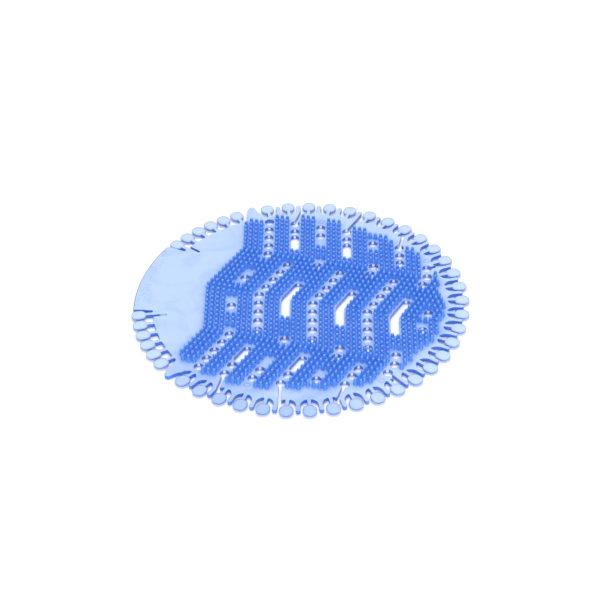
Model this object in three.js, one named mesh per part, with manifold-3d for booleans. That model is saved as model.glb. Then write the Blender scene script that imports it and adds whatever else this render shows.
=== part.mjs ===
// A one-piece moulded screen for a urinal, lying flat as it does in the bowl.
// Millimetres and degrees, +Z up. The origin is the middle of the rim circle on the underside,
// +X points away from the smooth tab and the left and right sides mirror each other in Y.
import * as THREE from 'three';
import { mergeGeometries, mergeVertices } from 'three/addons/utils/BufferGeometryUtils.js';
import Module from 'manifold-3d';

// Plate
const plateThickness = 2.5;
const rimRadius = 90.8;

// Beads of the main rim, each on a neck inside a scallop, with a finger between two scallops
const beadPitch = 7.888;
const beadsPerSide = 15;
const beadLength = 8.5;
const beadWidth = 7.7;
const neckWidth = 2.1;
const scallopDepth = 8.4;
const scallopWidth = 9.6;
const fingerWidth = 2.7;
const fingerReach = 0.7;

// Lug beside the last bead
const lugOffset = 5.5;
const lugReach = 4.2;
const lugNoseWidth = 3.2;
const lugFootWidth = 7.8;

// Beads beside the tab, on the smooth edge of the plate
const tabBeadOffset = 12.1;
const tabBeadPitch = 5.574;
const tabBeadsPerSide = 6;
const tabEdgeSetback = 7.8;

// Tab that is gripped to lift the screen out
const tabReach = 93.5;
const tabHalfWidth = 30;
const tabSagitta = 4.5;
const tabNotchOffset = 1.9;
const tabSlitWidth = 1;
const tabSlitLength = 7;
const tabSlitOffset = 1.4;

// Pins stand in rows that follow one zigzag, in bands with a gap column between two bands
const pinHeight = 3.75;
const pinDiameter = 1.9;
const pinPitch = 3.75;
const rowPitch = 3.15;
const firstRowX = -54.3;
const zigzagRun = 37.5;
const zigzagSlope = 0.275;
const firstBandRows = 4;
const rowsPerBand = 3;
const rowsPerGap = 2;
const pinMargin = 1.5;

// Drain holes, slots and rim slits in the gap columns
const holeDiameter = 5.3;
const slotWidth = 4.9;
const slitWidth = 1;
const holeMargin = 4;

// Facets: the screen has over a thousand pins, so each has few
const pinSides = 3;
const holeSides = 4;
const tabSegments = 6;
const pinRoot = 0.1;
const cutMargin = 1;

// Last pin of each row, counted from the middle line, band by band
const bandReach = [
  [16, 17, 17, 17],
  [19, 19, 19],
  [20, 20, 20],
  [20, 20, 20],
  [19, 19, 19],
  [18, 18, 17],
  [16, 16, 15],
  [11, 10, 7],
  [4, 3],
];

// What stands and what is cut in each gap column, at |y| in pin pitches.
// A slit joins the last hole to the rim at the angle given.
const bentSlot = [-4.2, 4.2];
const gapColumns = [
  { pins: [0, 1, 6, 7, 8], holes: [3.5, 10, 12, 14, 16, 18], slots: [] },
  { pins: [9, 10, 11], holes: [0, 2, 4, 6, 8, 16.5, 18.5], slots: [[12, 15.6]], slitAngle: 105.9 },
  { pins: [5, 6, 7, 8, 11, 12, 13], holes: [9, 16.5, 18.5], slots: [bentSlot] },
  { pins: [9, 10, 11], holes: [0, 2, 4, 6, 8, 16.5, 18.5], slots: [[12, 15.6]], slitAngle: 82 },
  { pins: [5, 6, 7, 8, 12, 13, 14, 18], holes: [9, 11, 16.5], slots: [bentSlot] },
  { pins: [9, 10, 11], holes: [0, 2, 4, 6, 8, 14.5, 16.5], slots: [[12, 13.5]], slitAngle: 60.5 },
  { pins: [5, 6, 7], holes: [8.5, 10.5, 12.5], slots: [bentSlot], slitAngle: 41.5 },
  { pins: [0, 3, 4, 5, 6], holes: [2], slots: [] },
];

const wasm = await Module();
wasm.setup();
const radians = THREE.MathUtils.degToRad;

function solidFrom(geometry) {
  const bare = geometry.index ? geometry.toNonIndexed() : geometry.clone();
  bare.deleteAttribute('normal');
  bare.deleteAttribute('uv');
  const merged = mergeVertices(bare, 1e-4);
  return new wasm.Manifold(new wasm.Mesh({
    numProp: 3,
    vertProperties: new Float32Array(merged.attributes.position.array),
    triVerts: new Uint32Array(merged.index.array),
  }));
}

function geometryFrom(solid) {
  const mesh = solid.getMesh();
  const geometry = new THREE.BufferGeometry();
  geometry.setAttribute('position', new THREE.BufferAttribute(mesh.vertProperties, 3));
  geometry.setIndex(new THREE.BufferAttribute(mesh.triVerts, 1));
  geometry.computeVertexNormals();
  return geometry;
}

// A point given by its distance outward and sideways in the frame of a spoke
function onSpoke(angle, outward, sideways) {
  return new THREE.Vector2(outward, sideways).rotateAround(new THREE.Vector2(), radians(angle));
}

// One side of a bead, from its widest point to its neck
function halfBead() {
  return [
    [rimRadius + beadLength * 0.12, beadWidth / 2],
    [rimRadius - beadLength * 0.46, neckWidth / 2],
  ];
}

// Half of one tooth of the main rim: bead, neck, scallop and the side of a finger
function halfTooth() {
  const scallopFloor = rimRadius - scallopDepth;
  const fingerEnd = rimRadius + fingerReach;
  const spoke = radians(beadPitch / 2);
  const fingerSide = fingerEnd * Math.sin(spoke) - (fingerWidth / 2) * Math.cos(spoke);
  return [
    ...halfBead(),
    [scallopFloor, neckWidth / 2],
    [scallopFloor + scallopWidth * 0.2, scallopWidth * 0.4],
    [fingerEnd, fingerSide],
  ];
}

// Half of one tooth beside the tab: bead and neck on the smooth edge
function halfTabTooth() {
  return [...halfBead(), [rimRadius - tabEdgeSetback, neckWidth / 2]];
}

// Both sides of a tooth round the bead's outer end, in order of rising angle
function tooth(half, angle) {
  const before = [...half].reverse().map(([out, side]) => onSpoke(angle, out, -side));
  const end = onSpoke(angle, rimRadius + beadLength / 2, 0);
  const after = half.map(([out, side]) => onSpoke(angle, out, side));
  return [...before, end, ...after];
}

// A tapered lobe with a blunt nose, wide at its foot on the side of the tab
function lug() {
  const angle = beadsPerSide * beadPitch + lugOffset;
  const tip = rimRadius + lugReach;
  const foot = rimRadius - tabEdgeSetback;
  return [
    onSpoke(angle, (tip + foot) / 2, -lugNoseWidth / 2),
    onSpoke(angle, tip - lugNoseWidth * 0.4, -lugNoseWidth / 2),
    onSpoke(angle, tip, 0),
    onSpoke(angle, tip - lugNoseWidth * 0.4, lugNoseWidth / 2),
    onSpoke(angle, foot, lugFootWidth - lugNoseWidth / 2),
  ];
}

// Free edge of the tab from its corner to the middle line, an arc of the given sagitta
function tabEdge() {
  const arcRadius = (tabHalfWidth ** 2 + tabSagitta ** 2) / (2 * tabSagitta);
  const sweep = Math.asin(tabHalfWidth / arcRadius);
  const points = [];
  for (let step = 0; step <= tabSegments / 2; step += 1) {
    const turn = sweep * (1 - (2 * step) / tabSegments);
    points.push(new THREE.Vector2(
      arcRadius - tabReach - arcRadius * Math.cos(turn),
      arcRadius * Math.sin(turn),
    ));
  }
  return points;
}

function lastTabBeadAngle() {
  return beadsPerSide * beadPitch + tabBeadOffset + (tabBeadsPerSide - 1) * tabBeadPitch;
}

function outline() {
  const left = tooth(halfTooth(), 0).slice(halfTooth().length);
  for (let bead = 1; bead <= beadsPerSide; bead += 1) {
    left.push(...tooth(halfTooth(), bead * beadPitch));
  }
  left.pop();
  left.push(...lug());
  for (let bead = 0; bead < tabBeadsPerSide; bead += 1) {
    const angle = beadsPerSide * beadPitch + tabBeadOffset + bead * tabBeadPitch;
    left.push(...tooth(halfTabTooth(), angle));
  }
  left.push(onSpoke(lastTabBeadAngle() + tabNotchOffset, rimRadius - tabEdgeSetback, 0));
  left.push(...tabEdge());
  const right = left.slice(1, -1).reverse().map((point) => new THREE.Vector2(point.x, -point.y));
  return [...left, ...right];
}

function prism(points, bottom, top) {
  const geometry = new THREE.ExtrudeGeometry(new THREE.Shape(points), {
    depth: top - bottom,
    bevelEnabled: false,
  });
  return geometry.translate(0, 0, bottom);
}

function cutPrism(points) {
  return prism(points, -cutMargin, plateThickness + cutMargin);
}

function zigzag(y) {
  const folded = Math.abs(y) % (2 * zigzagRun);
  return zigzagSlope * (folded > zigzagRun ? 2 * zigzagRun - folded : folded);
}

// Centre of a row or a gap at a distance from the middle line, counted in rows from the first
function rowX(row, y) {
  return firstRowX + rowPitch * row + zigzag(y);
}

// The first row of a gap column, and the middle of the column
function gapRow(column) {
  return firstBandRows + column * (rowsPerBand + rowsPerGap);
}

function gapX(column, y) {
  return rowX(gapRow(column) + (rowsPerGap - 1) / 2, y);
}

function clearOfRim(x, y, margin) {
  return Math.hypot(x, y) < rimRadius - scallopDepth - margin;
}

function bothSides(place) {
  return place === 0 ? [0] : [place, -place];
}

function pinPlaces() {
  const places = [];
  const stand = (row, pitches) => {
    for (const side of bothSides(pitches)) {
      const y = side * pinPitch;
      places.push([rowX(row, y), y]);
    }
  };
  bandReach.forEach((reaches, band) => {
    const firstRow = band === 0 ? 0 : gapRow(band - 1) + rowsPerGap;
    reaches.forEach((reach, index) => {
      for (let pin = 0; pin <= reach; pin += 1) {
        stand(firstRow + index, pin);
      }
    });
  });
  gapColumns.forEach(({ pins }, column) => {
    for (let index = 0; index < rowsPerGap; index += 1) {
      pins.forEach((pin) => stand(gapRow(column) + index, pin));
    }
  });
  return places.filter(([x, y]) => clearOfRim(x, y, pinMargin));
}

// Corner radius of a polygon that has the area of a circle
function cornerRadius(diameter, sides) {
  return (diameter / 2) * Math.sqrt((2 * Math.PI) / (sides * Math.sin((2 * Math.PI) / sides)));
}

// A pointed pin with its root in the plate and its foot as large as the round pin's
function pinGeometry() {
  const length = pinHeight + pinRoot;
  const rootRadius = (cornerRadius(pinDiameter, pinSides) * length) / pinHeight;
  const shape = new THREE.ConeGeometry(rootRadius, length, pinSides);
  shape.rotateX(Math.PI / 2).rotateZ(Math.PI / 2);
  return shape.translate(0, 0, plateThickness - pinRoot + length / 2);
}

function pins() {
  const shape = pinGeometry();
  return solidFrom(mergeGeometries(pinPlaces().map(([x, y]) => shape.clone().translate(x, y, 0))));
}

function hole(column, pitches) {
  const y = pitches * pinPitch;
  const points = [];
  for (let side = 0; side < holeSides; side += 1) {
    const turn = (Math.PI * (2 * side + 1)) / holeSides;
    const corner = cornerRadius(holeDiameter, holeSides);
    points.push(new THREE.Vector2(
      gapX(column, y) + corner * Math.cos(turn),
      y + corner * Math.sin(turn),
    ));
  }
  return cutPrism(points);
}

// A slot that follows its column, with a bend where the column has one
function slot(column, from, to) {
  const start = from * pinPitch;
  const end = to * pinPitch;
  const nose = slotWidth * 0.4;
  const crossesMiddle = start < 0 && end > 0;
  const stations = crossesMiddle ? [start + nose, 0, end - nose] : [start + nose, end - nose];
  const edge = (side) => stations.map(
    (y) => new THREE.Vector2(gapX(column, y) + (side * slotWidth) / 2, y),
  );
  const tip = (y) => new THREE.Vector2(gapX(column, y), y);
  return cutPrism([tip(start), ...edge(1), tip(end), ...edge(-1).reverse()]);
}

// A straight slit of the given width between two points
function slitBetween(start, end, width) {
  const across = end.clone().sub(start).normalize().rotateAround(new THREE.Vector2(), Math.PI / 2);
  across.multiplyScalar(width / 2);
  return cutPrism([
    start.clone().sub(across),
    end.clone().sub(across),
    end.clone().add(across),
    start.clone().add(across),
  ]);
}

function rimSlit(column, pitches, angle, side) {
  const y = pitches * pinPitch;
  const start = new THREE.Vector2(gapX(column, y), side * y);
  const end = onSpoke(side * angle, rimRadius - scallopDepth / 2, 0);
  return slitBetween(start, end, slitWidth);
}

function tabSlit(side) {
  const edge = rimRadius - tabEdgeSetback;
  const angle = side * (lastTabBeadAngle() - tabSlitOffset);
  return slitBetween(
    onSpoke(angle, edge - tabSlitLength, 0),
    onSpoke(angle, edge + cutMargin, 0),
    tabSlitWidth,
  );
}

function cuts() {
  const pieces = [tabSlit(1), tabSlit(-1)];
  gapColumns.forEach(({ holes, slots, slitAngle }, column) => {
    const cutHoles = holes.filter((place) => {
      const y = place * pinPitch;
      return clearOfRim(gapX(column, y), y, holeMargin);
    });
    cutHoles.forEach((place) => {
      pieces.push(...bothSides(place).map((pitches) => hole(column, pitches)));
    });
    slots.forEach(([from, to]) => {
      pieces.push(slot(column, from, to));
      if (from > 0) {
        pieces.push(slot(column, -to, -from));
      }
    });
    if (slitAngle && cutHoles.length > 0) {
      pieces.push(rimSlit(column, cutHoles.at(-1), slitAngle, 1));
      pieces.push(rimSlit(column, cutHoles.at(-1), slitAngle, -1));
    }
  });
  return pieces.map(solidFrom);
}

// The pins stand on a blank, which is trimmed to the outline and then pierced
function screenGeometry() {
  const blank = new THREE.BoxGeometry(4 * rimRadius, 5 * rimRadius, plateThickness);
  blank.translate(rimRadius / 4, rimRadius, plateThickness / 2);
  const trim = prism(outline(), 0, plateThickness + 2 * pinHeight);
  let body = solidFrom(blank).add(pins()).intersect(solidFrom(trim));
  for (const cut of cuts()) {
    body = body.subtract(cut);
  }
  return geometryFrom(body);
}

const softPlastic = new THREE.MeshStandardMaterial({
  color: 0x5a8df0,
  roughness: 0.28,
  metalness: 0,
  transparent: true,
  opacity: 0.85,
});

const screen = new THREE.Mesh(screenGeometry(), softPlastic);
screen.name = 'deodorizer_screen';

const urinalScreen = new THREE.Group();
urinalScreen.add(screen);

export default urinalScreen;
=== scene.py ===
# A soft blue plastic screen for a urinal, lying flat on a white studio floor.
# The plate, beads, pins, ring marks and the tab's raised line and flow marks are fine meshes that
# stand for the one moulded piece.
import math

import bpy
import numpy as np
from mathutils import Matrix, Vector
from mathutils.geometry import tessellate_polygon


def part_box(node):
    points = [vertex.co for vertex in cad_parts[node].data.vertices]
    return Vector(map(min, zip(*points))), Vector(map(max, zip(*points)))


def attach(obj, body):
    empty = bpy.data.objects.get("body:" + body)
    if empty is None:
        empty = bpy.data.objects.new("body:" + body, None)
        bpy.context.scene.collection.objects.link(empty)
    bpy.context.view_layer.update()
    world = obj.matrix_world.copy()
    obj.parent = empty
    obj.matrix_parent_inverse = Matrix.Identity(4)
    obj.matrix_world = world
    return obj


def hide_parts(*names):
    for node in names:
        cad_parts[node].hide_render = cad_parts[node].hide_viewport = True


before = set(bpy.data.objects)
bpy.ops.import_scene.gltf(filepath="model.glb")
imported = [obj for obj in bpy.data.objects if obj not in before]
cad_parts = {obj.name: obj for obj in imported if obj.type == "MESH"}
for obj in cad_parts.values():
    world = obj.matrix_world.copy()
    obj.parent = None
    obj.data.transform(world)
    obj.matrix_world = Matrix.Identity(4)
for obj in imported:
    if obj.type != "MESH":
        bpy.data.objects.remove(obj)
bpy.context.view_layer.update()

NODE = "deodorizer_screen"
MM = 0.001

# Plate, in millimetres and degrees as the source has them
PLATE = 2.5
EDGE = 0.32
BORDER = 0.1
RIM = 90.8

# Beads of the main rim and the scallops behind them
BEAD_PITCH = 7.888
BEADS_PER_SIDE = 15
BEAD_LENGTH = 8.5
BEAD_WIDTH = 7.7
BEAD_HEIGHT = 3.1
BEAD_PLAN = 2.4
BEAD_SIDE = 0.95
NECK = 2.1
SCALLOP_RADIUS = 4.85
SCALLOP_CENTRE = 87.3
FINGER_END = 91.6
FINGER_WIDTH = 2.7
FINGER_CORNER = 1.25
FINGER_CORNER_POINTS = 5

# Lug at the end of the main rim, beads beside the tab, and the tab
LUG_OFFSET = 5.5
LUG_TIP = 95.2
LUG_NOSE = 2.1
TAB_BEAD_OFFSET = 12.1
TAB_BEAD_PITCH = 5.574
TAB_BEADS_PER_SIDE = 6
TAB_EDGE = 83.0
TAB_REACH = 93.5
TAB_HALF_WIDTH = 30.0
TAB_SAGITTA = 4.5
TAB_ARC_RADIUS = (TAB_HALF_WIDTH ** 2 + TAB_SAGITTA ** 2) / (2 * TAB_SAGITTA)
TAB_ARC_SWEEP = math.asin(TAB_HALF_WIDTH / TAB_ARC_RADIUS)
TAB_NOTCH_OFFSET = 1.9
TAB_SLIT_OFFSET = 1.4
TAB_SLIT_LENGTH = 7.0
SLIT = 1.7
SLIT_MOUTH = 85.5
SLIT_MOUTH_REACH = 7
SLIT_END_POINTS = 26
TAB_SLIT = 1.3

# Pins, rows and gap columns
PIN_FOOT = 1.18
PIN_SHANK = 1.04
PIN_TIP = 0.9
PIN_DOME = 0.62
PIN_SUNK = 0.3
PIN_PITCH = 3.75
ROW_PITCH = 3.15
FIRST_ROW_X = -54.3
ZIGZAG_RUN = 37.5
ZIGZAG_SLOPE = 0.275
ZIGZAG_CORNER = 1.8
FIRST_BAND_ROWS = 4
ROWS_PER_BAND = 3
ROWS_PER_GAP = 2
PIN_FIELD = 80.9
HOLE = 5.3
SLOT_WIDTH = 4.9

BAND_REACH = [
    [16, 17, 17, 17],
    [19, 19, 19],
    [20, 20, 20],
    [20, 20, 20],
    [19, 19, 19],
    [18, 18, 17],
    [16, 16, 15],
    [11, 10, 7],
    [4, 3],
]
BENT = (-4.2, 4.2)
GAP_COLUMNS = [
    {"pins": [0, 1, 6, 7, 8], "holes": [3.5, 10, 12, 14, 16, 18]},
    {"pins": [9, 10, 11], "holes": [0, 2, 4, 6, 8, 16.5], "slots": [(12, 15.6)], "slit": (18.5, 105.2)},
    {"pins": [5, 6, 7, 8, 11, 12, 13], "holes": [9, 16.5, 18.5], "slots": [BENT]},
    {"pins": [9, 10, 11], "holes": [0, 2, 4, 6, 8, 16.5], "slots": [(12, 15.6)], "slit": (18.5, 81.6)},
    {"pins": [5, 6, 7, 8, 12, 13, 14, 18], "holes": [9, 11, 16.5], "slots": [BENT]},
    {"pins": [9, 10, 11], "holes": [0, 2, 4, 6, 8, 14.5], "slots": [(12, 13.5)], "slit": (16.5, 60.8)},
    {"pins": [5, 6, 7], "holes": [8.5, 10.5], "slots": [BENT], "slit": (12.5, 36.8)},
    {"pins": [0, 3, 4, 5, 6], "holes": [2]},
]

# Marks on the plate; a row of ticks is its inset from the tab's edge, its first and last turn in
# radians and how many places it has
RING_MARKS = [(-8.2, 75.4), (60.4, 53.8)]
RING_MARK_RADIUS = 1.6
RING_MARK_WIDTH = 0.22
RING_MARK_RISE = 0.14
LIP_INSET = 0.45
LIP_WIDTH = 0.6
TICK_WIDTH = 0.3
TICK_ROWS = [(2.6, -0.27, -0.12, 12), (5.4, -0.22, 0.2, 26), (2.2, 0.08, 0.26, 14)]
TICKS_LEFT_OUT = 0.25
MARK_RISE = 0.1

# How painted light and shade change the plastic's colour: pairs run from none of an effect to all of
# it, in millimetres where they are places; painted shade among pins, toward the front and at edges, and
# a painted glint on front-facing walls
PIN_SHADE_REACH = 6.0
PIN_SHADE_RANGE = (0.42, 0.98)
EDGE_SHADE_RANGE = (0.47, 0.85)
EDGE_SHADE_MOST = 0.85
FRONT_SHADE_SPAN = (-160, -50)
FRONT_SHADE_TAB_FADE = (-35, -60)
GLINT_WAY = (0.287, -0.958, 0)
GLINT_RANGE = (0.945, 0.985)
GLINT_INSIDE = (80, 78)
GLINT_COLOUR = (0.9, 0.95, 1, 1)

# The photograph's view: degrees, metres and pixels of its 600 by 600 frame
VIEW_AZIMUTH = 16.737
VIEW_ELEVATION = 38.9565
VIEW_ROLL = -1.4777
VIEW_DISTANCE = 1.0842
VIEW_FOCAL = 1927.3
VIEW_CENTRE = (300.3, 302.8)
VIEW_FRAME = 600
SENSOR = 36.0
AIM_HEIGHT = 1.5


def spoke(angle, out, side):
    """A point given by its distance outward and sideways in the frame of a spoke."""
    turn = math.radians(angle)
    return np.array([
        out * math.cos(turn) - side * math.sin(turn),
        out * math.sin(turn) + side * math.cos(turn),
    ])


def arc(centre, radius, start, end, steps):
    """Points on an arc in a spoke's own frame, as (out, side) pairs."""
    turns = np.radians(np.linspace(start, end, steps))
    return [(centre[0] + radius * math.cos(t), centre[1] + radius * math.sin(t)) for t in turns]


def zigzag(y):
    """How far the rows lean over at a distance from the middle line, with slightly rounded corners."""
    folded = np.abs((np.abs(y) + ZIGZAG_RUN) % (2 * ZIGZAG_RUN) - ZIGZAG_RUN)
    from_middle = np.sqrt(folded ** 2 + ZIGZAG_CORNER ** 2)
    from_turn = np.sqrt((ZIGZAG_RUN - folded) ** 2 + ZIGZAG_CORNER ** 2)
    return ZIGZAG_SLOPE * (ZIGZAG_RUN + from_middle - from_turn) / 2


def row_x(row, y):
    return FIRST_ROW_X + ROW_PITCH * row + zigzag(y)


def gap_row(column):
    """The first row of a gap column, counted from the tab."""
    return FIRST_BAND_ROWS + column * (ROWS_PER_BAND + ROWS_PER_GAP)


def gap_x(column, y):
    return row_x(gap_row(column) + (ROWS_PER_GAP - 1) / 2, y)


def half_tooth():
    """Neck, scallop and finger on one side of a main bead, as (out, side) pairs."""
    start = math.degrees(math.asin(NECK / 2 / SCALLOP_RADIUS))
    spread = math.radians(BEAD_PITCH / 2)
    side = FINGER_END * math.sin(spread) - FINGER_WIDTH / 2 * math.cos(spread)
    scallop = arc((SCALLOP_CENTRE, 0), SCALLOP_RADIUS, 180 - start - 4, 94, 12)
    corner = arc((FINGER_END - FINGER_CORNER, side + FINGER_CORNER), FINGER_CORNER, -90, 0,
                 FINGER_CORNER_POINTS)
    neck = [(RIM - 1, NECK / 2), (SCALLOP_CENTRE - SCALLOP_RADIUS + 0.9, NECK / 2)]
    return neck + scallop + corner


def half_tab_tooth():
    """Neck on the smooth edge beside the tab."""
    fillet = 0.7
    foot = arc((TAB_EDGE + fillet, NECK / 2 + fillet), fillet, 270, 180, 5)
    return [(RIM - 1, NECK / 2)] + foot


def tooth(half, angle):
    """Both halves of a tooth as points in order of rising angle."""
    before = [spoke(angle, out, -side) for out, side in reversed(half)]
    after = [spoke(angle, out, side) for out, side in half]
    return before + after


def lug():
    """The tapered lug after the last main bead, with a round nose and a wide foot by the tab.

    Its points are measured back from the tip or out from the tab's edge, and sideways."""
    angle = BEADS_PER_SIDE * BEAD_PITCH + LUG_OFFSET
    slope = [(LUG_TIP - 6.2, -2.5), (LUG_TIP - 4.2, -2.1)]
    nose = arc((LUG_TIP - LUG_NOSE, 0.3), LUG_NOSE, -80, 60, 11)
    flank = [(LUG_TIP - 3.6, 3.7), (LUG_TIP - 7.0, 4.9), (TAB_EDGE + 1.7, 5.7), (TAB_EDGE, 6.9)]
    return [spoke(angle, out, side) for out, side in slope + nose + flank]


def last_tab_bead():
    return BEADS_PER_SIDE * BEAD_PITCH + TAB_BEAD_OFFSET + (TAB_BEADS_PER_SIDE - 1) * TAB_BEAD_PITCH


def tab_edge():
    """From the notch past the last bead to the tab's middle, with a rounded corner."""
    radius = TAB_ARC_RADIUS
    turns = np.linspace(TAB_ARC_SWEEP * 0.985, 0, 26)
    bow = [np.array([radius - TAB_REACH - radius * math.cos(t), radius * math.sin(t)]) for t in turns]
    notch = spoke(last_tab_bead() + TAB_NOTCH_OFFSET, TAB_EDGE, 0)
    corner = bow[0] + np.array([1.1, 0.5])
    return [notch, notch + (corner - notch) * 0.5, corner, bow[0] + np.array([0.35, 0.3])] + bow


def splice_slit(points, inner, outer, width, end_radius):
    """Runs a slit from the closed outline to a round end at the inner point."""
    points = np.array(points)
    along = (outer - inner) / np.linalg.norm(outer - inner)
    across = np.array([-along[1], along[0]])
    reach = (points - inner) @ along
    offset = (points - inner) @ across
    near = np.linalg.norm(points - outer, axis=1) < SLIT_MOUTH_REACH
    crossing = {}
    for index in range(len(points)):
        after = (index + 1) % len(points)
        if not (near[index] or near[after]):
            continue
        for level in (-width / 2, width / 2):
            if (offset[index] - level) * (offset[after] - level) < 0:
                share = (level - offset[index]) / (offset[after] - offset[index])
                where = reach[index] + share * (reach[after] - reach[index])
                if level not in crossing or where < crossing[level][1]:
                    crossing[level] = (index, where)
    first, second = sorted(crossing, key=lambda level: crossing[level][0])
    start, end = crossing[first][0], crossing[second][0]
    opening = math.asin(min(1.0, width / 2 / end_radius))
    sign = 1 if first > 0 else -1
    turns = np.linspace(opening, 2 * math.pi - opening, SLIT_END_POINTS) * sign
    ring = [inner + end_radius * (along * math.cos(t) + across * math.sin(t)) for t in turns]
    mouth_in = inner + along * crossing[first][1] + across * first
    mouth_out = inner + along * crossing[second][1] + across * second
    return [*points[:start + 1], mouth_in, *ring, mouth_out, *points[end + 1:]]


def outline():
    """The plate's closed outline, with the slits, in millimetres."""
    left = [spoke(0, out, side) for out, side in half_tooth()]
    for bead in range(1, BEADS_PER_SIDE + 1):
        left += tooth(half_tooth(), bead * BEAD_PITCH)
    left = left[:-FINGER_CORNER_POINTS] + lug()
    for bead in range(TAB_BEADS_PER_SIDE):
        angle = BEADS_PER_SIDE * BEAD_PITCH + TAB_BEAD_OFFSET + bead * TAB_BEAD_PITCH
        left += tooth(half_tab_tooth(), angle)
    left += tab_edge()
    for column, gap in enumerate(GAP_COLUMNS):
        if "slit" in gap:
            pitches, angle = gap["slit"]
            y = pitches * PIN_PITCH
            inner = np.array([gap_x(column, y), y])
            left = splice_slit(left, inner, spoke(angle, SLIT_MOUTH, 0), SLIT, HOLE / 2)
    slit_angle = last_tab_bead() - TAB_SLIT_OFFSET
    slit_end = spoke(slit_angle, TAB_EDGE - TAB_SLIT_LENGTH, 0)
    left = splice_slit(left, slit_end, spoke(slit_angle, TAB_EDGE, 0), TAB_SLIT, TAB_SLIT / 2)
    right = [point * np.array([1, -1]) for point in reversed(left[:-1])]
    return np.array(left + right)


def both_sides(place):
    return [0] if place == 0 else [place, -place]


def round_hole(column, pitches):
    y = pitches * PIN_PITCH
    turns = np.linspace(0, 2 * np.pi, 28, endpoint=False)
    ring = [gap_x(column, y) + HOLE / 2 * np.cos(turns), y + HOLE / 2 * np.sin(turns)]
    return np.stack(ring, axis=1)


def slot_hole(column, start, end):
    """A round-ended slot that follows its gap column."""
    radius = SLOT_WIDTH / 2
    y = np.linspace(start * PIN_PITCH + radius, end * PIN_PITCH - radius, 25)
    middle = np.stack([gap_x(column, y), y], axis=1)
    along = np.gradient(middle, axis=0)
    along /= np.linalg.norm(along, axis=1)[:, None]
    across = np.stack([along[:, 1], -along[:, 0]], axis=1)
    turns = np.linspace(0, np.pi, 11)[1:-1, None]
    far_end = middle[-1] + radius * (across[-1] * np.cos(turns) + along[-1] * np.sin(turns))
    near_end = middle[0] - radius * (across[0] * np.cos(turns) + along[0] * np.sin(turns))
    right_side = middle + radius * across
    left_side = middle - radius * across
    return np.concatenate([right_side, far_end, left_side[::-1], near_end])


def openings():
    """Every hole and slot that doesn't reach the rim."""
    loops = []
    for column, gap in enumerate(GAP_COLUMNS):
        for place in gap["holes"]:
            loops += [round_hole(column, pitches) for pitches in both_sides(place)]
        for start, end in gap.get("slots", []):
            loops.append(slot_hole(column, start, end))
            if start > 0:
                loops.append(slot_hole(column, -end, -start))
    return loops


def pin_places():
    places = []
    for band, reaches in enumerate(BAND_REACH):
        first_row = gap_row(band - 1) + ROWS_PER_GAP if band else 0
        for index, reach in enumerate(reaches):
            row = first_row + index
            places += [(row, pitches) for pitches in range(-reach, reach + 1)]
    for column, gap in enumerate(GAP_COLUMNS):
        for index in range(ROWS_PER_GAP):
            row = gap_row(column) + index
            places += [(row, pitches) for pin in gap["pins"] for pitches in both_sides(pin)]
    rows, pitches = np.array(places).T
    y = pitches * PIN_PITCH
    points = np.stack([row_x(rows, y), y], axis=1)
    return points[np.linalg.norm(points, axis=1) < PIN_FIELD]


def clean_loop(points, least=0.04):
    """The loop without points that lie almost on the one before."""
    kept = [points[0]]
    for point in points[1:]:
        if np.linalg.norm(point - kept[-1]) > least:
            kept.append(point)
    if np.linalg.norm(kept[-1] - kept[0]) <= least:
        kept.pop()
    return np.array(kept)


def signed_area(loop):
    x, y = loop.T
    return 0.5 * np.sum(x * np.roll(y, -1) - y * np.roll(x, -1))


def inset(loop, distance):
    """The loop moved to its left by a distance, with mitred corners."""
    before = loop - np.roll(loop, 1, axis=0)
    after = np.roll(loop, -1, axis=0) - loop
    before /= np.linalg.norm(before, axis=1)[:, None]
    after /= np.linalg.norm(after, axis=1)[:, None]
    left_before = np.stack([-before[:, 1], before[:, 0]], axis=1)
    left_after = np.stack([-after[:, 1], after[:, 0]], axis=1)
    middle = left_before + left_after
    length = np.maximum(np.sum(middle ** 2, axis=1), 0.6)
    return loop + 2 * distance * middle / length[:, None]


def new_object(name, vertices, faces, material, smooth_angle=40):
    """A mesh object in metres that rides on the body and stands for the moulded piece."""
    mesh = bpy.data.meshes.new(name)
    mesh.from_pydata((np.asarray(vertices) * MM).tolist(), [], faces)
    mesh.validate()
    mesh.update()
    mesh.shade_smooth()
    mesh.set_sharp_from_angle(angle=math.radians(smooth_angle))
    piece = bpy.data.objects.new(name, mesh)
    bpy.context.scene.collection.objects.link(piece)
    mesh.materials.append(material)
    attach(piece, "root")
    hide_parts(NODE)
    return piece


def build_plate(material):
    """The plate: outline and openings with rounded edges, closed by flat faces."""
    loops = [clean_loop(outline())] + [clean_loop(loop) for loop in openings()]
    loops = [loop if (signed_area(loop) > 0) == (index == 0) else loop[::-1]
             for index, loop in enumerate(loops)]
    turns = np.radians([0, 30, 60, 90])
    rounding = [(EDGE - EDGE * math.sin(t), EDGE - EDGE * math.cos(t)) for t in turns]
    lower_half = [(EDGE + BORDER, 0)] + rounding
    rings = lower_half + [(inward, PLATE - rise) for inward, rise in reversed(lower_half)]
    vertices = []
    faces = []
    top_loops = []
    bottom_loops = []
    for loop in loops:
        start = len(vertices)
        count = len(loop)
        for inward, height in rings:
            vertices += [(x, y, height) for x, y in inset(loop, inward)]
        for ring in range(len(rings) - 1):
            for index in range(count):
                after = (index + 1) % count
                low = start + ring * count
                high = low + count
                faces.append((low + index, low + after, high + after, high + index))
        bottom_loops.append(range(start, start + count))
        top_loops.append(range(start + (len(rings) - 1) * count, start + len(rings) * count))
    for group, upward in ((bottom_loops, False), (top_loops, True)):
        order = [index for loop in group for index in loop]
        borders = [[Vector(vertices[index]) for index in loop] for loop in group]
        for triangle in tessellate_polygon(borders):
            corners = [order[index] for index in triangle]
            a, b, c = (np.array(vertices[index][:2]) for index in corners)
            ahead = (b - a)[0] * (c - a)[1] - (b - a)[1] * (c - a)[0] > 0
            faces.append(tuple(corners if ahead == upward else corners[::-1]))
    return new_object("screen_plate", vertices, faces, material)


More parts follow.
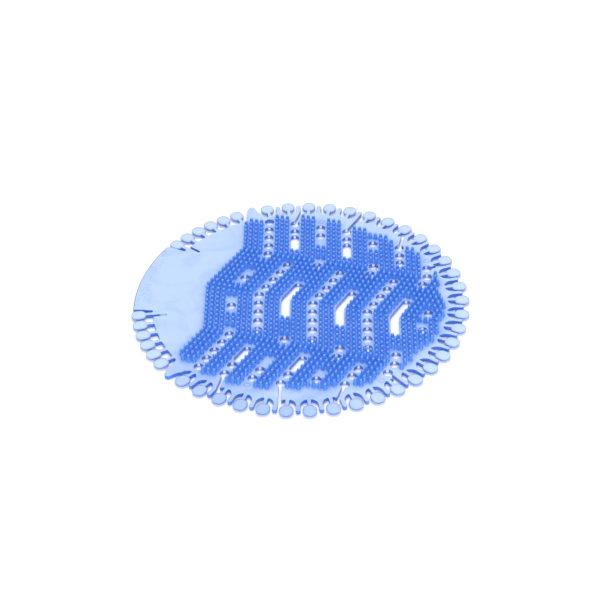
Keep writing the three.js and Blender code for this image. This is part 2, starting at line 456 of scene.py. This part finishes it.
def lathe(profile, sides):
    """Vertices and faces of a closed turned shape from (radius, height) pairs, ending on the axis."""
    turns = np.linspace(0, 2 * np.pi, sides, endpoint=False)
    vertices = [(r * math.cos(t), r * math.sin(t), z) for r, z in profile[1:-1] for t in turns]
    bottom = len(vertices)
    vertices += [(0, 0, profile[0][1]), (0, 0, profile[-1][1])]
    faces = []
    rows = len(profile) - 2
    for side in range(sides):
        after = (side + 1) % sides
        faces.append((bottom, after, side))
        for row in range(rows - 1):
            low = row * sides
            faces.append((low + side, low + after, low + sides + after, low + sides + side))
        last = (rows - 1) * sides
        faces.append((last + side, last + after, bottom + 1))
    return np.array(vertices), faces


def repeated(shape, faces, copies):
    """One vertex array and face list from a list of moved copies of a shape."""
    count = len(shape)
    vertices = np.concatenate(copies)
    all_faces = [tuple(index + copy * count for index in face)
                 for copy in range(len(copies)) for face in faces]
    return vertices, all_faces


def build_pins(material, top):
    """Round pins with a draft and rounded tips, each leaning by a hair."""
    height = top - PLATE
    foot = [(0, PLATE - PIN_SUNK), (PIN_FOOT + 0.25, PLATE - PIN_SUNK), (PIN_FOOT + 0.12, PLATE + 0.05)]
    shank = [(PIN_SHANK, PLATE + 0.4), (PIN_TIP, top - PIN_DOME)]
    dome = [(PIN_TIP * 0.88, top - PIN_DOME * 0.55), (PIN_TIP * 0.55, top - PIN_DOME * 0.14), (0, top)]
    profile = foot + shank + dome
    shape, faces = lathe(profile, 10)
    draws = np.random.default_rng(5)
    copies = []
    for x, y in pin_places():
        lean = draws.normal(0, 0.05, 2)
        moved = shape + np.array([x, y, 0])
        moved[:, :2] += lean * (np.maximum(shape[:, 2:] - PLATE, 0) / height)
        copies.append(moved)
    vertices, faces = repeated(shape, faces, copies)
    return new_object("screen_pins", vertices, faces, material, 60)


def bead_angles():
    main = [bead * BEAD_PITCH for bead in range(-BEADS_PER_SIDE, BEADS_PER_SIDE + 1)]
    first = BEADS_PER_SIDE * BEAD_PITCH + TAB_BEAD_OFFSET
    tab = [first + bead * TAB_BEAD_PITCH for bead in range(TAB_BEADS_PER_SIDE)]
    return main + tab + [-angle for angle in tab]


def squared(value, power):
    return math.copysign(abs(value) ** power, value)


def build_beads(material):
    """Crowned cushions on the ends of the necks."""
    levels = np.radians(np.linspace(-90, 90, 17))
    profile = [(squared(math.cos(t), BEAD_SIDE), squared(math.sin(t), BEAD_SIDE)) for t in levels]
    profile[0] = (0, -1)
    profile[-1] = (0, 1)
    shape, faces = lathe(profile, 36)
    radius = np.linalg.norm(shape[:, :2], axis=1)
    turn = np.arctan2(shape[:, 1], shape[:, 0])
    plan = (np.abs(np.cos(turn)) ** BEAD_PLAN + np.abs(np.sin(turn)) ** BEAD_PLAN) ** (-1 / BEAD_PLAN)
    shape[:, 0] = radius * plan * np.cos(turn)
    shape[:, 1] = radius * plan * np.sin(turn)
    shape = shape * np.array([BEAD_LENGTH / 2, BEAD_WIDTH / 2, BEAD_HEIGHT / 2])
    shape[:, 2] += BEAD_HEIGHT / 2
    copies = []
    for angle in bead_angles():
        turn = math.radians(angle)
        out = shape[:, 0] + RIM
        side = shape[:, 1]
        x = out * math.cos(turn) - side * math.sin(turn)
        y = out * math.sin(turn) + side * math.cos(turn)
        copies.append(np.stack([x, y, shape[:, 2]], axis=1))
    vertices, faces = repeated(shape, faces, copies)
    return new_object("rim_beads", vertices, faces, material, 80)


def build_ring_marks(material):
    """Low rings that the mould's ejectors leave on the plate."""
    profile = [(RING_MARK_RADIUS + RING_MARK_WIDTH * c, PLATE + RING_MARK_RISE * s)
               for c, s in ((-1, -1), (-0.7, 0.6), (0, 1), (0.7, 0.6), (1, -1))]
    sides = 32
    turns = np.linspace(0, 2 * np.pi, sides, endpoint=False)
    shape = np.array([(r * math.cos(t), r * math.sin(t), z) for r, z in profile for t in turns])
    faces = []
    for ring in range(len(profile)):
        low = ring * sides
        high = ((ring + 1) % len(profile)) * sides
        for side in range(sides):
            after = (side + 1) % sides
            faces.append((low + after, low + side, high + side, high + after))
    places = [(x, side * y) for x, y in RING_MARKS for side in (1, -1)]
    copies = [shape + np.array([x, y, 0]) for x, y in places]
    vertices, faces = repeated(shape, faces, copies)
    return new_object("ring_marks", vertices, faces, material, 60)


def tab_arc(inset_by, turns):
    """Places on an arc inside the tab's free edge, with the way outward at each."""
    outward = np.stack([-np.cos(turns), np.sin(turns)], axis=1)
    centre = np.array([TAB_ARC_RADIUS - TAB_REACH, 0])
    return centre + (TAB_ARC_RADIUS - inset_by) * outward, outward


def ridge(path, across, width, rise):
    """Vertices and faces of a low ridge with a three-sided section along a path on the plate."""
    low = PLATE - rise
    sections = []
    for point, way in zip(path, across):
        sides = [(-width / 2, low), (0, PLATE + rise), (width / 2, low)]
        sections += [(*(point + way * side), height) for side, height in sides]
    faces = []
    for step in range(len(path) - 1):
        for side in range(3):
            near = 3 * step + side
            beside = 3 * step + (side + 1) % 3
            faces.append((near, near + 3, beside + 3, beside))
    last = 3 * (len(path) - 1)
    faces += [(0, 1, 2), (last + 2, last + 1, last)]
    return sections, faces


def build_tab_lip(material):
    """The thin raised line that follows the tab's free edge."""
    turns = np.linspace(-TAB_ARC_SWEEP, TAB_ARC_SWEEP, 49) * 0.96
    path, outward = tab_arc(LIP_INSET, turns)
    vertices, faces = ridge(path, outward, LIP_WIDTH, MARK_RISE)
    return new_object("tab_lip", vertices, faces, material, 60)


def build_tab_ticks(material):
    """Short flow marks square to the tab's edge, in broken rows."""
    draws = np.random.default_rng(11)
    vertices = []
    faces = []
    for inset_by, first, last, count in TICK_ROWS:
        for turn in np.linspace(first, last, count):
            if draws.random() < TICKS_LEFT_OUT:
                continue
            length = draws.uniform(0.8, 2.8)
            place, outward = tab_arc(inset_by + draws.uniform(-0.8, 0.8), np.array([turn]))
            ends = np.array([place[0] - outward[0] * length / 2, place[0] + outward[0] * length / 2])
            across = np.array([[-outward[0][1], outward[0][0]]] * 2)
            points, sides = ridge(ends, across, TICK_WIDTH, MARK_RISE / 2)
            faces += [tuple(index + len(vertices) for index in side) for side in sides]
            vertices += points
    return new_object("tab_ticks", vertices, faces, material, 60)


def linked(tree, source, target):
    tree.links.new(source, target)


def product(tree, first, second):
    node = tree.nodes.new("ShaderNodeMath")
    node.operation = "MULTIPLY"
    linked(tree, first, node.inputs[0])
    linked(tree, second, node.inputs[1])
    return node.outputs[0]


def faded(tree, value, span, unit=1):
    """A smooth rise from nothing to one over a span of the value."""
    node = tree.nodes.new("ShaderNodeMapRange")
    node.interpolation_type = "SMOOTHSTEP"
    node.inputs["From Min"].default_value = span[0] * unit
    node.inputs["From Max"].default_value = span[1] * unit
    linked(tree, value, node.inputs["Value"])
    return node.outputs["Result"]


def painted_light_group():
    """Pale where a face looks up, deep where it is edge on, among pins or near the front: painted light
    and shade.

    Low and High are the slopes between which it turns pale, and Glint adds a painted white glint to
    walls that face the front."""
    group = bpy.data.node_groups.new("plastic_colour_and_painted_light", "ShaderNodeTree")
    face = group.interface
    for name, kind in (("Pale", "NodeSocketColor"), ("Deep", "NodeSocketColor"),
                       ("Low", "NodeSocketFloat"), ("High", "NodeSocketFloat"),
                       ("Mottle", "NodeSocketFloat"), ("Unshaded", "NodeSocketFloat"),
                       ("Glint", "NodeSocketFloat")):
        face.new_socket(name, in_out="INPUT", socket_type=kind)
    face.new_socket("Color", in_out="OUTPUT", socket_type="NodeSocketColor")
    nodes = group.nodes
    entry = nodes.new("NodeGroupInput")
    leave = nodes.new("NodeGroupOutput")
    geometry = nodes.new("ShaderNodeNewGeometry")
    parts = nodes.new("ShaderNodeSeparateXYZ")
    linked(group, geometry.outputs["Normal"], parts.inputs[0])
    # Painted light and shade by slope: faces that look up turn pale, faces edge on stay deep
    slope = nodes.new("ShaderNodeMapRange")
    slope.interpolation_type = "SMOOTHSTEP"
    linked(group, parts.outputs["Z"], slope.inputs["Value"])
    linked(group, entry.outputs["Low"], slope.inputs["From Min"])
    linked(group, entry.outputs["High"], slope.inputs["From Max"])
    place = nodes.new("ShaderNodeTexCoord")
    noise = nodes.new("ShaderNodeTexNoise")
    noise.inputs["Scale"].default_value = 26
    noise.inputs["Detail"].default_value = 4
    noise.inputs["Distortion"].default_value = 3
    linked(group, place.outputs["Object"], noise.inputs["Vector"])
    swing = nodes.new("ShaderNodeMath")
    swing.operation = "MULTIPLY_ADD"
    centred = nodes.new("ShaderNodeMath")
    centred.operation = "SUBTRACT"
    centred.inputs[1].default_value = 0.5
    linked(group, noise.outputs["Fac"], centred.inputs[0])
    linked(group, centred.outputs[0], swing.inputs[0])
    linked(group, entry.outputs["Mottle"], swing.inputs[1])
    lit = product(group, slope.outputs["Result"], entry.outputs["Unshaded"])
    # Painted shade toward the front of the plate, fading out toward the tab
    spot = nodes.new("ShaderNodeSeparateXYZ")
    linked(group, place.outputs["Object"], spot.inputs[0])
    far = faded(group, spot.outputs["Y"], FRONT_SHADE_SPAN, MM)
    tabward = faded(group, spot.outputs["X"], FRONT_SHADE_TAB_FADE, MM)
    out_of_front_shade = nodes.new("ShaderNodeMath")
    out_of_front_shade.operation = "MAXIMUM"
    linked(group, far, out_of_front_shade.inputs[0])
    linked(group, tabward, out_of_front_shade.inputs[1])
    linked(group, product(group, lit, out_of_front_shade.outputs[0]), swing.inputs[2])
    mix = nodes.new("ShaderNodeMix")
    mix.data_type = "RGBA"
    linked(group, swing.outputs[0], mix.inputs["Factor"])
    linked(group, entry.outputs["Deep"], mix.inputs["A"])
    linked(group, entry.outputs["Pale"], mix.inputs["B"])
    # Painted glint: white on hole and slot walls inside the rim that face the front
    toward_front = nodes.new("ShaderNodeVectorMath")
    toward_front.operation = "DOT_PRODUCT"
    toward_front.inputs[1].default_value = GLINT_WAY
    linked(group, geometry.outputs["Normal"], toward_front.inputs[0])
    from_middle = nodes.new("ShaderNodeVectorMath")
    from_middle.operation = "LENGTH"
    linked(group, place.outputs["Object"], from_middle.inputs[0])
    wall_middle = faded(group, toward_front.outputs["Value"], GLINT_RANGE)
    inside_rim = faded(group, from_middle.outputs["Value"], GLINT_INSIDE, MM)
    shine = product(group, product(group, wall_middle, inside_rim), entry.outputs["Glint"])
    bright = nodes.new("ShaderNodeMix")
    bright.data_type = "RGBA"
    bright.inputs["B"].default_value = GLINT_COLOUR
    linked(group, shine, bright.inputs["Factor"])
    linked(group, mix.outputs["Result"], bright.inputs["A"])
    linked(group, bright.outputs["Result"], leave.inputs["Color"])
    return group


def rgb(red, green, blue):
    """A screen colour of 0 to 255 as linear light."""
    def linear(value):
        share = value / 255
        return share / 12.92 if share <= 0.04045 else ((share + 0.055) / 1.055) ** 2.4
    return (linear(red), linear(green), linear(blue), 1)


def soft_plastic(name, group, pale, deep, edge_shade_colour, low, high, mottle, roughness, shade, light_left_among_pins):
    """Translucent moulded plastic with painted shade: deeper where pins stand close, with painted dark
    edges where it turns from sight.
    """
    material = bpy.data.materials.new(name)
    material.use_nodes = True
    tree = material.node_tree
    nodes = tree.nodes
    shader = nodes["Principled BSDF"]
    painted_light_node = nodes.new("ShaderNodeGroup")
    painted_light_node.name = "painted_light_node"
    painted_light_node.node_tree = group
    painted_light_node.inputs["Pale"].default_value = pale
    painted_light_node.inputs["Deep"].default_value = deep
    painted_light_node.inputs["Low"].default_value = low
    painted_light_node.inputs["High"].default_value = high
    painted_light_node.inputs["Mottle"].default_value = mottle
    # Painted shade among the pins: ambient occlusion pulls the colour toward deep
    pin_occlusion = nodes.new("ShaderNodeAmbientOcclusion")
    pin_occlusion.samples = 8
    pin_occlusion.inputs["Distance"].default_value = PIN_SHADE_REACH * MM
    pin_unshaded = nodes.new("ShaderNodeMapRange")
    pin_unshaded.inputs["From Min"].default_value = PIN_SHADE_RANGE[0]
    pin_unshaded.inputs["From Max"].default_value = PIN_SHADE_RANGE[1]
    pin_unshaded.inputs["To Min"].default_value = light_left_among_pins
    linked(tree, pin_occlusion.outputs["AO"], pin_unshaded.inputs["Value"])
    linked(tree, pin_unshaded.outputs["Result"], painted_light_node.inputs["Unshaded"])
    # Painted dark edge where a face turns from sight
    facing = nodes.new("ShaderNodeLayerWeight")
    facing.inputs["Blend"].default_value = 0.5
    turned = nodes.new("ShaderNodeMapRange")
    turned.interpolation_type = "SMOOTHSTEP"
    turned.inputs["From Min"].default_value = EDGE_SHADE_RANGE[0]
    turned.inputs["From Max"].default_value = EDGE_SHADE_RANGE[1]
    turned.inputs["To Max"].default_value = EDGE_SHADE_MOST
    linked(tree, facing.outputs["Facing"], turned.inputs["Value"])
    mix = nodes.new("ShaderNodeMix")
    mix.data_type = "RGBA"
    mix.inputs["B"].default_value = edge_shade_colour
    linked(tree, turned.outputs["Result"], mix.inputs["Factor"])
    linked(tree, painted_light_node.outputs["Color"], mix.inputs["A"])
    linked(tree, mix.outputs["Result"], shader.inputs["Base Color"])
    shader.inputs["Roughness"].default_value = roughness
    shader.inputs["IOR"].default_value = 1.47
    shader.inputs["Subsurface Weight"].default_value = 0.25
    shader.inputs["Subsurface Radius"].default_value = (0.6, 0.8, 1.0)
    shader.inputs["Subsurface Scale"].default_value = 0.0015
    shader.inputs["Coat Weight"].default_value = 0.3
    shader.inputs["Coat Roughness"].default_value = 0.08
    path = nodes.new("ShaderNodeLightPath")
    clear = nodes.new("ShaderNodeMapRange")
    clear.inputs["To Min"].default_value = 1
    clear.inputs["To Max"].default_value = shade
    linked(tree, path.outputs["Is Shadow Ray"], clear.inputs["Value"])
    linked(tree, clear.outputs["Result"], shader.inputs["Alpha"])
    return material


def build_floor():
    """A white sweep just under the screen, see-through from below."""
    mesh = bpy.data.meshes.new("floor")
    half = 6.0
    drop = -0.05 * MM
    corners = [(-half, -half, drop), (half, -half, drop), (half, half, drop), (-half, half, drop)]
    mesh.from_pydata(corners, [], [(0, 1, 2, 3)])
    floor = bpy.data.objects.new("floor", mesh)
    bpy.context.scene.collection.objects.link(floor)
    material = bpy.data.materials.new("floor_white")
    material.use_nodes = True
    shader = material.node_tree.nodes["Principled BSDF"]
    shader.inputs["Base Color"].default_value = (0.92, 0.92, 0.92, 1)
    shader.inputs["Roughness"].default_value = 0.9
    shader.inputs["Specular IOR Level"].default_value = 0.1
    side = material.node_tree.nodes.new("ShaderNodeNewGeometry")
    seen = material.node_tree.nodes.new("ShaderNodeMapRange")
    seen.inputs["To Min"].default_value = 1
    seen.inputs["To Max"].default_value = 0
    linked(material.node_tree, side.outputs["Backfacing"], seen.inputs["Value"])
    linked(material.node_tree, seen.outputs["Result"], shader.inputs["Alpha"])
    mesh.materials.append(material)


def area_light(name, place, aim, size, power, mirrored=True):
    data = bpy.data.lights.new(name, "AREA")
    data.shape = "DISK"
    data.size = size
    data.energy = power
    light = bpy.data.objects.new(name, data)
    light.visible_glossy = mirrored
    light.location = place
    light.rotation_euler = (Vector(aim) - Vector(place)).to_track_quat("-Z", "Y").to_euler()
    bpy.context.scene.collection.objects.link(light)


def build_lights():
    area_light("key_behind", (-0.25, 0.8, 1.9), (0, 0, 0), 0.8, 22, mirrored=False)
    area_light("fill_front", (0.6, -1.6, 1.3), (0, 0, 0), 1.4, 15, mirrored=False)
    area_light("glint_front", (0.45, -1.3, 0.2), (0, 0, 0), 0.35, 5)
    world = bpy.data.worlds.new("studio")
    world.use_nodes = True
    background = world.node_tree.nodes["Background"]
    background.inputs["Color"].default_value = (1, 1, 1, 1)
    background.inputs["Strength"].default_value = 0.7
    bpy.context.scene.world = world


def build_camera():
    """The camera that was fitted to the ring of beads in the photograph."""
    azimuth, elevation, roll = (math.radians(v) for v in (VIEW_AZIMUTH, VIEW_ELEVATION, VIEW_ROLL))
    back = Vector((math.sin(azimuth) * math.cos(elevation),
                   -math.cos(azimuth) * math.cos(elevation),
                   math.sin(elevation)))
    right = Vector((0, 0, 1)).cross(back).normalized()
    up = back.cross(right)
    turned_right = right * math.cos(roll) + up * math.sin(roll)
    turned_up = up * math.cos(roll) - right * math.sin(roll)
    data = bpy.data.cameras.new("camera")
    data.sensor_width = SENSOR
    data.lens = SENSOR * VIEW_FOCAL / VIEW_FRAME
    data.shift_x = (VIEW_FRAME / 2 - VIEW_CENTRE[0]) / VIEW_FRAME
    data.shift_y = (VIEW_CENTRE[1] - VIEW_FRAME / 2) / VIEW_FRAME
    camera = bpy.data.objects.new("camera", data)
    place = Vector((0, 0, AIM_HEIGHT * MM)) + back * VIEW_DISTANCE
    camera.matrix_world = Matrix((
        (turned_right.x, turned_up.x, back.x, place.x),
        (turned_right.y, turned_up.y, back.y, place.y),
        (turned_right.z, turned_up.z, back.z, place.z),
        (0, 0, 0, 1),
    ))
    bpy.context.scene.collection.objects.link(camera)
    bpy.context.scene.camera = camera


def build_screen():
    group = painted_light_group()
    plate = soft_plastic("plate_plastic", group, pale=rgb(174, 196, 232), deep=rgb(56, 118, 218),
                         edge_shade_colour=rgb(96, 124, 176), low=0.35, high=0.97, mottle=0.9,
                         roughness=0.24, shade=0.6, light_left_among_pins=0.0)
    # A painted glint on the plate's hole and slot walls
    plate.node_tree.nodes["painted_light_node"].inputs["Glint"].default_value = 1
    beads = soft_plastic("bead_plastic", group, pale=rgb(180, 201, 236), deep=rgb(56, 116, 212),
                         edge_shade_colour=rgb(60, 96, 168), low=-0.25, high=0.97, mottle=0.10,
                         roughness=0.16, shade=0.5, light_left_among_pins=0.7)
    # Only faces that look straight up turn pale here, so the pin tips carry a painted highlight
    pins = soft_plastic("pin_plastic", group, pale=rgb(120, 170, 242), deep=rgb(80, 140, 230),
                        edge_shade_colour=rgb(56, 110, 210), low=0.8, high=1.0, mottle=0.06,
                        roughness=0.25, shade=0.65, light_left_among_pins=0.6)
    marks = soft_plastic("mark_plastic", group, pale=rgb(112, 134, 182), deep=rgb(72, 98, 158),
                         edge_shade_colour=rgb(84, 110, 164), low=0.3, high=0.97, mottle=0.0,
                         roughness=0.3, shade=0.45, light_left_among_pins=1.0)
    build_plate(plate)
    build_beads(beads)
    build_pins(pins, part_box(NODE)[1][2] / MM)
    build_ring_marks(plate)
    build_tab_lip(marks)
    build_tab_ticks(marks)


build_camera()
build_floor()
build_lights()
build_screen()
bpy.context.scene.view_settings.view_transform = "Standard"
